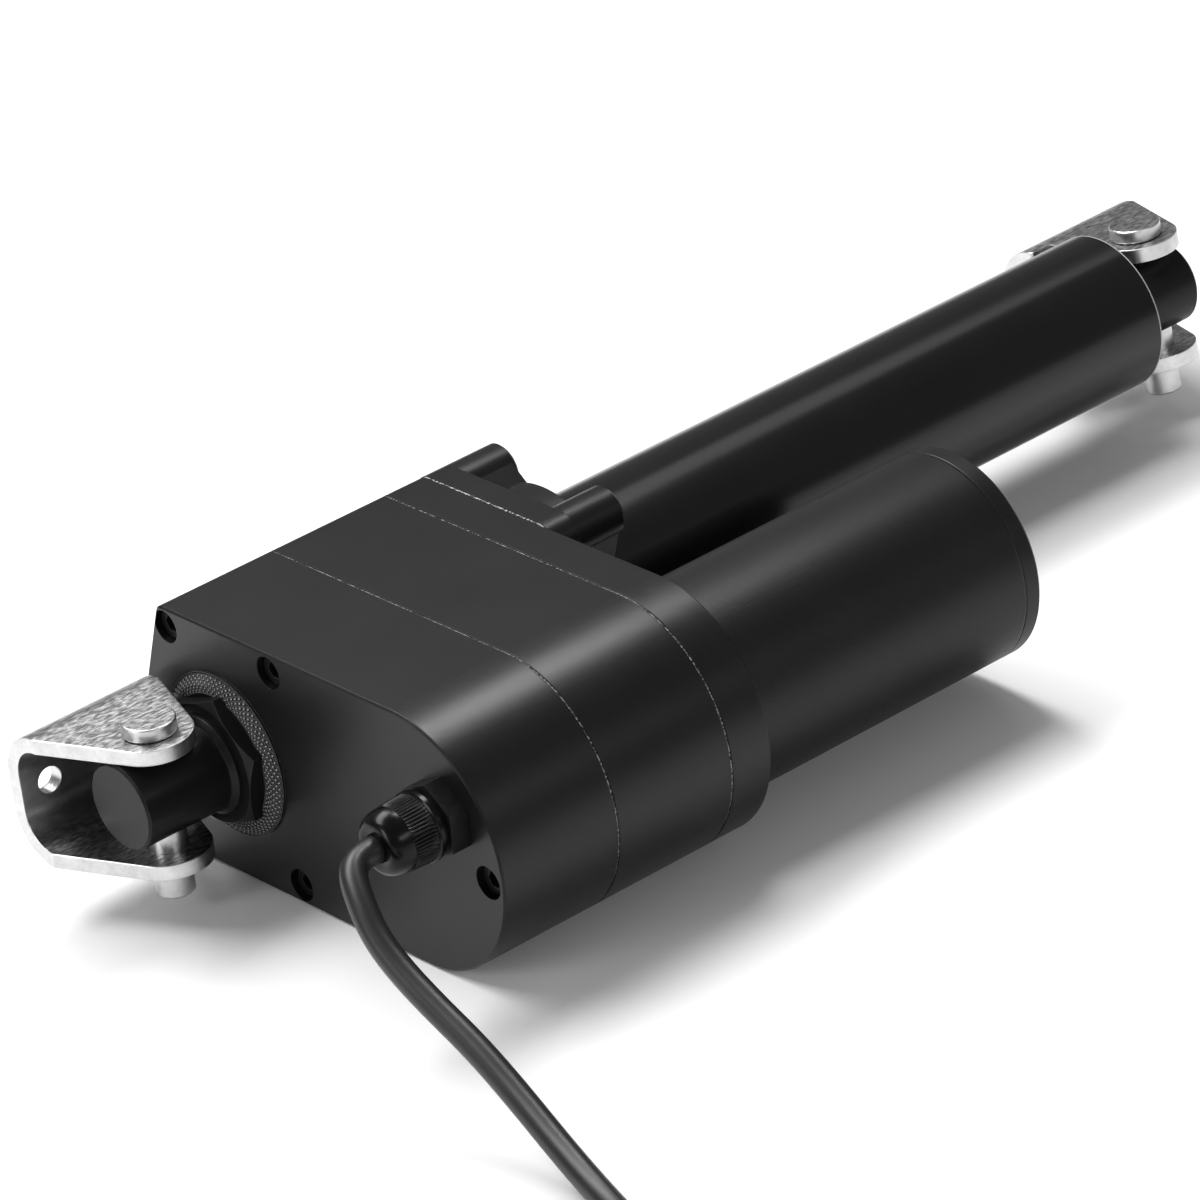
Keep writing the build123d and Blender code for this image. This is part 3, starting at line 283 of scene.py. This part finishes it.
def zinc_plate():
    """Zinc plate: a coarse drawn grain on level faces, smooth on upright ones, and a painted highlight
    along edges.
    """
    shader = Shader("zinc_plate", metallic=1.0)
    split = shader.node("ShaderNodeSeparateXYZ")
    shader.link(shader.node("ShaderNodeNewGeometry").outputs["Normal"], split.inputs["Vector"])
    level = shader.ramp(shader.maths("ABSOLUTE", split.outputs["Z"], 0.0), (0.6, 0.12), (0.95, 1.0))
    grain = shader.noise(1.0, detail=2.0, roughness=0.5, at=shader.stretched((430.0, 1150.0, 1150.0)))
    speck = shader.noise(3200.0, detail=2.0)
    mixed = shader.blend(grain, speck, 0.15)
    smooth = shader.ramp(shader.noise(260.0), (0.3, 0.56), (0.7, 0.7))
    grainy = shader.ramp(mixed, (0.38, 0.26), (0.64, 0.66))
    tone = shader.mix(level, smooth, grainy)
    # painted highlight: edges are lightened to a near-white tone
    edges = shader.maths("MULTIPLY", shader.edge_mask(EDGE_HIGHLIGHT_RADIUS, 0.8, 0.985), 0.8)
    shader.colour(shader.mix(edges, tone, EDGE_HIGHLIGHT_TONE))
    shader.roughness(shader.ramp(mixed, (0.3, 0.28), (0.7, 0.36)))
    shader.bump(shader.maths("MULTIPLY", mixed, level), 0.8, 0.18 * MM, edge=METAL_EDGE)
    return shader.material


def plain_mottled(name, dark, light, rough, grain=700.0, depth=0.02 * MM):
    """Moulded plastic, rubber, paper board and other hidden materials: a mottled tone with a fine grain."""
    shader = Shader(name, Specular_IOR_Level=DARK_SPECULAR)
    cloud = shader.noise(grain / 6, detail=3.0)
    fine = shader.noise(grain, detail=3.0)
    shader.colour(shader.ramp(cloud, (0.3, dark), (0.7, light)))
    shader.roughness(shader.ramp(fine, (0.3, rough - 0.06), (0.7, rough + 0.06)))
    shader.bump(fine, 0.4, depth)
    return shader.material


def speckled(name, dark, light, rough):
    """Cut gasket edge: light grains in a dark binder."""
    shader = Shader(name)
    grains = shader.noise(1900.0, detail=2.0)
    shader.colour(shader.ramp(grains, (0.45, dark), (0.6, light)))
    shader.roughness(shader.ramp(grains, (0.3, rough), (0.7, rough + 0.15)))
    shader.bump(grains, 0.5, 0.05 * MM)
    return shader.material


def tube_material():
    """Glossy black coat, with a painted highlight as a light grey band at the front end of the tube."""
    shader = Shader("tube_coat", Specular_IOR_Level=TUBE_SPECULAR)
    fine = shader.noise(5200.0, detail=2.0)
    cloud = shader.noise(35.0, detail=3.0)
    tone = shader.ramp(cloud, (0.3, 0.004), (0.75, 0.006))
    split = shader.node("ShaderNodeSeparateXYZ")
    shader.link(shader.place, split.inputs["Vector"])
    # painted highlight: a light grey band around the front end of the tube
    rim_highlight = shader.maths("GREATER_THAN", split.outputs["X"], tube_high.x - TUBE_RIM_HIGHLIGHT)
    shader.colour(shader.mix(shader.maths("MULTIPLY", rim_highlight, 0.85), tone, RIM_HIGHLIGHT_TONE))
    shader.roughness(shader.ramp(fine, (0.25, 0.19), (0.75, 0.24)))
    shader.bump(fine, 0.25, 0.01 * MM, edge=PAINT_EDGE)
    return shader.material


def cable_material():
    """Extruded dark jacket: satin, with a faint cloudy tone and a fine grain."""
    shader = Shader("cable_jacket", Specular_IOR_Level=JACKET_SPECULAR)
    fine = shader.noise(3000.0, detail=3.0)
    cloud = shader.noise(120.0, detail=3.0)
    shader.colour(shader.ramp(cloud, (0.3, (0.007, 0.007, 0.0068)), (0.7, (0.011, 0.011, 0.0105))))
    shader.roughness(shader.ramp(fine, (0.3, 0.36), (0.7, 0.44)))
    shader.bump(fine, 0.3, 0.02 * MM)
    return shader.material


# Tones, roughness and grain of each material slot
MATERIALS = {
    "black_aluminium": grained_black(
        "housing_satin", 0.005, 0.008, 0.33, 2600.0, seams=HOUSING_SEAMS
    ),
    "motor_black": grained_black(
        "motor_powder", 0.004, 0.006, 0.4, 2100.0, grain_depth=0.05 * MM, seams=(motor_front,)
    ),
    "tube_black": tube_material(),
    "black_steel": grained_black(
        "black_oxide", 0.005, 0.009, 0.34, 3200.0, wear=0.12, specular=OXIDE_SPECULAR
    ),
    "zinc_steel": zinc_plate(),
    "bright_steel": brushed_metal(
        "ground_steel", 0.5, 0.58, 0.22, direction=(3500.0, 90.0, 90.0), cloudy=0.1
    ),
    "gear_steel": brushed_metal("gear_steel", 0.25, 0.4, 0.38, direction=(300.0, 300.0, 300.0)),
    "copper": brushed_metal(
        "copper", (0.45, 0.18, 0.08), (0.7, 0.33, 0.2), 0.3, direction=(900.0, 900.0, 90.0)
    ),
    "magnet": plain_mottled("ferrite", 0.03, 0.06, 0.5),
    "lamination": brushed_metal("lamination", 0.2, 0.4, 0.35, direction=(4000.0, 40.0, 40.0)),
    "carbon": plain_mottled("carbon", 0.02, 0.05, 0.45),
    "board": plain_mottled("board", (0.03, 0.09, 0.04), (0.05, 0.13, 0.06), 0.45),
    "nylon": plain_mottled("nylon_black", 0.006, 0.012, 0.4, grain=2400.0, depth=0.05 * MM),
    "nut_plastic": plain_mottled("acetal", 0.6, 0.7, 0.35),
    "seal_rubber": plain_mottled("rubber", 0.015, 0.03, 0.6),
    "cable_rubber": cable_material(),
}
GASKET = speckled("gasket_edge", 0.004, 0.5, 0.6)

slot_of = {part["node"]: part["material_slot"] for part in frame["record"]["subparts"]}
for node, piece in frame["nodes"].items():
    piece.data.materials.clear()
    piece.data.materials.append(GASKET if node.endswith("_gasket") else MATERIALS[slot_of[node]])


def smooth_by_angle(piece, angle):
    """Smooth shading that keeps edges sharper than this angle crisp."""
    shape = bmesh.new()
    shape.from_mesh(piece.data)
    for polygon in shape.faces:
        polygon.smooth = True
    for edge in shape.edges:
        if len(edge.link_faces) == 2:
            edge.smooth = edge.calc_face_angle() < angle
    shape.to_mesh(piece.data)
    shape.free()


def add_piece(name, mesh, body, slot, replaced, material=None):
    """Links a new piece, gives it its material and body, and hides the solids it stands for."""
    piece = bpy.data.objects.new(name, mesh)
    scene.collection.objects.link(piece)
    piece.data.materials.append(material or MATERIALS[slot])
    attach(piece, body)
    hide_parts(*replaced)
    return piece


def lathe(name, rows, steps, radius_at, centre):
    """A closed body turned about a line along X: rows are (x, radius) and radius_at may shift them."""
    shape = bmesh.new()
    loops = []
    for row, (x, radius) in enumerate(rows):
        loop = []
        for step in range(steps):
            angle = 2 * pi * step / steps
            shift, reach = radius_at(row, radius, angle)
            loop.append(
                shape.verts.new(
                    (x + shift, centre[0] + reach * cos(angle), centre[1] + reach * sin(angle))
                )
            )
        loops.append(loop)
    for first, second in zip(loops, loops[1:] + loops[:1]):
        for step in range(steps):
            after = (step + 1) % steps
            shape.faces.new((first[step], first[after], second[after], second[step]))
    bmesh.ops.recalc_face_normals(shape, faces=shape.faces)
    mesh = bpy.data.meshes.new(name)
    shape.to_mesh(mesh)
    shape.free()
    return mesh


def triangle_wave(value):
    """A wave from one to zero and back for each whole step of value."""
    return abs(2 * (value - int(value // 1)) - 1)


# Knurled ring: a plain rim, then diamond points over its cone and the border of its outer face
RING_TEETH = 72
STEPS_PER_TOOTH = 6
KNURL_DEPTH = 0.45 * MM
KNURL_ROWS = 30
KNURL_DIAMONDS = 3.4
KNURL_CONE = 2.8 * MM
KNURL_BAND = 5.0 * MM
KNURL_BACK = 0.8
KNURL_INWARD = 0.4
RING_HOLE = 10.15 * MM
RING_RIM = 0.7 * MM
RIM_STEP = 0.25 * MM
RIM_GAP = 0.02 * MM
ring_radius = (ring_high.y - ring_low.y) / 2


def knurled_ring():
    rim_x = ring_high.x - RING_RIM
    corners = [
        Vector((rim_x - RIM_GAP, ring_radius - RIM_STEP)),
        Vector((ring_low.x, ring_radius - KNURL_CONE)),
        Vector((ring_low.x, ring_radius - KNURL_BAND)),
    ]
    slope = (corners[1] - corners[0]).length
    whole = slope + (corners[2] - corners[1]).length
    rows = [(ring_high.x, RING_HOLE), (ring_high.x, ring_radius), (rim_x, ring_radius)]
    first_knurl = len(rows)
    for step in range(KNURL_ROWS + 1):
        way = whole * step / KNURL_ROWS
        if way <= slope:
            place = corners[0].lerp(corners[1], way / slope)
        else:
            place = corners[1].lerp(corners[2], (way - slope) / (whole - slope))
        rows.append(tuple(place))
    last_knurl = len(rows) - 1
    rows.append((ring_low.x, RING_HOLE))
    peaks = []

    def radius_at(row, radius, angle):
        if not first_knurl < row < last_knurl:
            peaks.append(0.0)
            return 0.0, radius
        part = (row - first_knurl) / KNURL_ROWS * KNURL_DIAMONDS
        turns = RING_TEETH * angle / (2 * pi)
        rise = min(triangle_wave(turns + part), triangle_wave(turns - part))
        peaks.append(rise)
        sunk = KNURL_DEPTH * (1 - rise)
        return sunk * KNURL_BACK, radius - sunk * KNURL_INWARD

    mesh = lathe("knurled_face", rows, RING_TEETH * STEPS_PER_TOOTH, radius_at, (axis_y, axis_z))
    mesh.attributes.new("peak", "FLOAT", "POINT").data.foreach_set("value", peaks)
    add_piece("knurled_face", mesh, "housing", "black_steel", ["knurled_ring"], KNURL)


def knurl_material():
    """Blackened steel with painted highlights on its raised points and a fainter painted highlight along
    its rim.
    """
    shader = Shader("knurl_oxide", Specular_IOR_Level=KNURL_SPECULAR)
    fine = shader.noise(2600.0, detail=2.0)
    peak = shader.node("ShaderNodeAttribute", attribute_name="peak").outputs["Fac"]
    # painted highlight: the raised points of the knurl are lightened toward light grey
    points = shader.maths("MULTIPLY", shader.ramp(peak, (0.6, 0.0), (0.85, 1.0)), 0.65)
    # painted highlight: a fainter lightening along the ring's edges
    rim_highlight = shader.maths("MULTIPLY", shader.edge_mask(RIM_HIGHLIGHT_RADIUS, 0.8, 0.97), 0.25)
    wear_and_highlight = shader.maths("MAXIMUM", points, rim_highlight)
    tone = shader.ramp(shader.noise(60.0), (0.3, 0.004), (0.75, 0.007))
    shader.colour(shader.mix(wear_and_highlight, tone, POINT_HIGHLIGHT_TONE))
    shader.roughness(shader.ramp(fine, (0.25, 0.3), (0.75, 0.42)))
    shader.bump(fine, 0.4, 0.02 * MM)
    return shader.material


KNURL = knurl_material()
knurled_ring()

# Gland nut: collar, ribbed grip and smooth glossy dome down to the cable
GRIP_RIBS = 60
STEPS_PER_RIB = 8
RIB_DEPTH = 0.34 * MM
RIB_FADE = 0.25
GRIP_ROWS = 7
GRIP_STEP = 0.35 * MM
GRIP_TAPER = 0.3 * MM
COLLAR_EDGE = 0.4 * MM
COLLAR_EDGE_LENGTH = 0.5 * MM
COLLAR_END = 1.6 * MM
GROOVE_PLACE = 2.0 * MM
GROOVE_DEPTH = 0.55 * MM
DOME_ROWS = 12
DOME_STEP = 0.75 * MM
DOME_FULLNESS = 0.85
TIP_RADIUS = 5.2 * MM
SEAT_WIDTH = 2.6 * MM
MOUTH_GAP = 0.1 * MM
CABLE_RADIUS = 3.5 * MM
GLAND_CREASE = radians(38)
gland_start = gland_high.x
gland_tip = gland_low.x
gland_radius = (gland_high.y - gland_low.y) / 2
grip_start = gland_start - 2.2 * MM
grip_end = gland_start - 9.0 * MM


def gland_nut():
    rows = [
        (gland_start, CABLE_RADIUS + SEAT_WIDTH),
        (gland_start, gland_radius - COLLAR_EDGE),
        (gland_start - COLLAR_EDGE_LENGTH, gland_radius),
        (gland_start - COLLAR_END, gland_radius),
        (gland_start - GROOVE_PLACE, gland_radius - GROOVE_DEPTH),
    ]
    first_rib = len(rows)
    for step in range(GRIP_ROWS + 1):
        part = step / GRIP_ROWS
        x = grip_start + (grip_end - grip_start) * part
        rows.append((x, gland_radius - GRIP_STEP - GRIP_TAPER * part))
    last_rib = len(rows) - 1
    dome_length = grip_end - gland_tip
    top = gland_radius - DOME_STEP
    for step in range(DOME_ROWS + 1):
        angle = pi / 2 * step / DOME_ROWS
        x = grip_end - dome_length * sin(angle)
        reach = TIP_RADIUS + (top - TIP_RADIUS) * cos(angle) ** DOME_FULLNESS
        rows.append((x, reach))
    rows += [
        (gland_tip + 0.1 * MM, TIP_RADIUS - 0.5 * MM),
        (gland_tip + 0.35 * MM, CABLE_RADIUS + 0.3 * MM),
        (gland_tip + 1.2 * MM, CABLE_RADIUS + MOUTH_GAP),
        (gland_tip + 3.0 * MM, CABLE_RADIUS + MOUTH_GAP),
        (gland_tip + 3.2 * MM, CABLE_RADIUS + SEAT_WIDTH),
    ]

    def radius_at(row, radius, angle):
        if not first_rib <= row <= last_rib:
            return 0.0, radius
        fade = 1.0 if first_rib < row < last_rib else RIB_FADE
        wave = 0.5 - 0.5 * cos(GRIP_RIBS * angle)
        return 0.0, radius - RIB_DEPTH * fade * wave**1.5

    mesh = lathe("gland_dome", rows, GRIP_RIBS * STEPS_PER_RIB, radius_at, (gland_y, gland_z))
    piece = add_piece("gland_dome", mesh, "housing", "nylon", ["gland_nut"], DOME)
    smooth_by_angle(piece, GLAND_CREASE)


def dome_material():
    """Moulded black nylon: semi-gloss with a faint grain."""
    shader = Shader("gland_nylon", Specular_IOR_Level=GLAND_SPECULAR)
    fine = shader.noise(1800.0, detail=2.0)
    shader.colour(shader.ramp(shader.noise(150.0), (0.3, 0.002), (0.7, 0.004)))
    shader.roughness(shader.ramp(fine, (0.25, 0.19), (0.75, 0.25)))
    shader.bump(fine, 0.2, 0.01 * MM)
    return shader.material


DOME = dome_material()
gland_nut()

# Loose cable: down from the gland to the floor, then wound into a coil whose end lies inside it.
# The route is in millimetres.
CABLE_ROUTE = [
    (-168.6, -50.05, 47.2),
    (-173.6, -50.05, 47.2),
    (-178.4, -52.9, 45.9),
    (-181.6, -59.3, 41.9),
    (-184.0, -66.7, 36.3),
    (-184.9, -75.5, 31.2),
    (-185.3, -87.0, 26.0),
    (-185.8, -103.0, 20.0),
    (-187.6, -119.8, 13.2),
    (-190.8, -138.0, 7.2),
    (-194.8, -156.8, 3.5),
    (-199.7, -174.6, 3.5),
    (-205.9, -192.6, 3.5),
    (-213.2, -212.4, 3.5),
]
COIL_CENTRE = Vector((-252.6, -197.8, 0.0)) * MM
COIL_RADIUS = 38.5 * MM
COIL_START = radians(-20.3)
COIL_POINTS = 18
COIL_TURNS = 2.8
TURN_CHANGE = 0.2
FIRST_LEAN = radians(-30)
STRAND_LEAN = radians(120)
PEEL_POINTS = 9
PEEL_TURN = radians(160)
PEEL_EASE = 2.2
CABLE_STOP = 22.1 * MM
SPLINE_STEPS = 10
SKIN_STEPS = 5


def coil_points():
    """Each turn keeps its place in a triangle of three strands, then moves on in a short stretch."""
    strand = 2 * CABLE_RADIUS / 3**0.5
    middle = CABLE_RADIUS + strand / 2
    widened = 1 / cos(pi / COIL_POINTS)
    points = []
    for step in range(1, int(COIL_POINTS * COIL_TURNS) + 1):
        turn = step / COIL_POINTS
        whole = int(turn)
        moved = max(0.0, (turn - whole - (1 - TURN_CHANGE)) / TURN_CHANGE)
        lean = FIRST_LEAN + STRAND_LEAN * (whole + moved)
        reach = (COIL_RADIUS + strand * cos(lean)) * widened
        angle = COIL_START - 2 * pi * turn
        height = middle + strand * sin(lean)
        points.append(COIL_CENTRE + Vector((reach * cos(angle), reach * sin(angle), height)))
    last = COIL_START - 2 * pi * COIL_TURNS
    inner = COIL_RADIUS - CABLE_RADIUS
    for step in range(1, PEEL_POINTS + 1):
        part = step / PEEL_POINTS
        angle = last - PEEL_TURN * part
        reach = CABLE_STOP + (inner - CABLE_STOP) * (1 - part) ** PEEL_EASE
        points.append(
            COIL_CENTRE + Vector((reach * cos(angle), reach * sin(angle), CABLE_RADIUS))
        )
    return points


def power_cable():
    points = [Vector(point) * MM for point in CABLE_ROUTE] + coil_points()
    line = bpy.data.curves.new("cable", "CURVE")
    line.dimensions = "3D"
    line.resolution_u = SPLINE_STEPS
    line.bevel_depth = CABLE_RADIUS
    line.bevel_resolution = SKIN_STEPS
    line.use_fill_caps = True
    spline = line.splines.new("NURBS")
    spline.points.add(len(points) - 1)
    for point, place in zip(spline.points, points):
        point.co = (*place, 1.0)
    spline.order_u = 3
    spline.use_endpoint_u = True
    piece = add_piece(
        "cable", line, "housing", "cable_rubber", ["power_cable", "cable_coil", "cable_end"]
    )


power_cable()


# Studio: a pale floor and soft light from panels; places in metres, power in watts
FLOOR_HALF = 6.0
FLOOR_DROP = 0.2 * MM
WORLD_LIGHT = 0.2


def panel(name, place, target, size, power):
    data = bpy.data.lights.new(name, "AREA")
    data.shape = "RECTANGLE"
    data.size, data.size_y = size
    data.energy = power
    lamp = bpy.data.objects.new(name, data)
    lamp.visible_camera = False
    scene.collection.objects.link(lamp)
    lamp.matrix_world = Matrix.Translation(place) @ (
        (Vector(target) - Vector(place)).to_track_quat("-Z", "Y").to_matrix().to_4x4()
    )


def studio():
    floor_mesh = bpy.data.meshes.new("floor")
    corners = [(FLOOR_HALF * x, FLOOR_HALF * y, 0) for x, y in ((-1, -1), (1, -1), (1, 1), (-1, 1))]
    floor_mesh.from_pydata(corners, [], [(0, 1, 2, 3)])
    floor = bpy.data.objects.new("floor", floor_mesh)
    scene.collection.objects.link(floor)
    floor.location.z = -FLOOR_DROP
    floor_shader = Shader("floor_white")
    floor_shader.colour(floor_shader.ramp(floor_shader.noise(3.0), (0.3, 0.93), (0.7, 0.95)))
    floor_shader.surface.inputs["Roughness"].default_value = 0.9
    floor_mesh.materials.append(floor_shader.material)
    world = bpy.data.worlds.new("studio")
    world.use_nodes = True
    background = world.node_tree.nodes["Background"]
    background.inputs["Color"].default_value = (1.0, 1.0, 1.0, 1.0)
    background.inputs["Strength"].default_value = WORLD_LIGHT
    scene.world = world
    panel("top_panel", (-0.25, 0.75, 1.25), (-0.05, 0.0, 0.03), (1.5, 0.55), 26.0)
    panel("shoulder_panel", (0.085, 0.06, 0.43), (-0.13, -0.05, 0.07), (0.13, 0.13), 0.85)
    panel("front_top_panel", (0.9, 0.42, 1.35), (0.0, 0.0, 0.05), (0.5, 0.45), 1.0)
    panel("left_panel", (-1.7, 0.15, 0.55), (-0.15, 0.0, 0.03), (0.5, 0.9), 9.0)
    panel("front_panel", (0.15, -1.7, 0.9), (0.0, 0.0, 0.03), (1.2, 0.35), 6.0)


studio()
